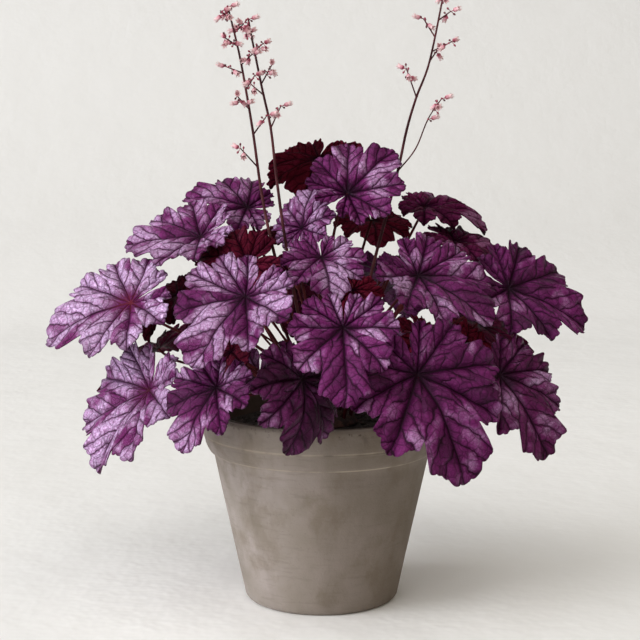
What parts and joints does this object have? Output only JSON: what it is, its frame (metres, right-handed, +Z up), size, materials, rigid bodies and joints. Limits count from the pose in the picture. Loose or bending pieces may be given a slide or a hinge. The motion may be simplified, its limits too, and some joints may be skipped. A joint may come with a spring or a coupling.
{
  "type": "potted heuchera plant",
  "caption": "Coral bells plant in a tapered clay pot: a mound of lobed purple leaves on thin petioles under tall wiry flower scapes.",
  "frame": {"origin": "centre of the pot's foot, on the surface that it stands on", "axes": "+Z up along the pot's axis; the fullest show of leaves faces -Y; the two close scapes lean to -X and the single one to +X"},
  "size_m": [0.4496, 0.3806, 0.5163],
  "materials": {
    "pot": "weathered grey-brown unglazed clay, matt, mottled",
    "soil": "dark loose potting compost",
    "crown": "dark woody crown with old leaf bases",
    "leaf": "soft satin leaf, silvery magenta-purple between sunken near-black veins, deep maroon underneath",
    "scape": "dusky maroon wiry stems with pink bells"
  },
  "bodies": {
    "root": {"pot": "pot", "soil": "soil", "crown": "crown", "leaf_01": "leaf", "leaf_02": "leaf", "leaf_03": "leaf", "leaf_04": "leaf", "leaf_05": "leaf", "leaf_06": "leaf", "leaf_07": "leaf", "leaf_08": "leaf", "leaf_09": "leaf", "leaf_10": "leaf", "leaf_11": "leaf", "leaf_12": "leaf", "leaf_13": "leaf", "leaf_14": "leaf", "leaf_15": "leaf", "leaf_16": "leaf", "leaf_17": "leaf", "leaf_18": "leaf", "leaf_19": "leaf", "leaf_20": "leaf", "leaf_21": "leaf", "leaf_22": "leaf", "leaf_23": "leaf", "leaf_24": "leaf", "leaf_25": "leaf", "leaf_26": "leaf", "leaf_27": "leaf", "leaf_28": "leaf", "leaf_29": "leaf", "leaf_30": "leaf", "leaf_31": "leaf", "leaf_32": "leaf", "scape_left": "scape", "scape_back": "scape", "scape_right": "scape"}
  },
  "joints": []
}
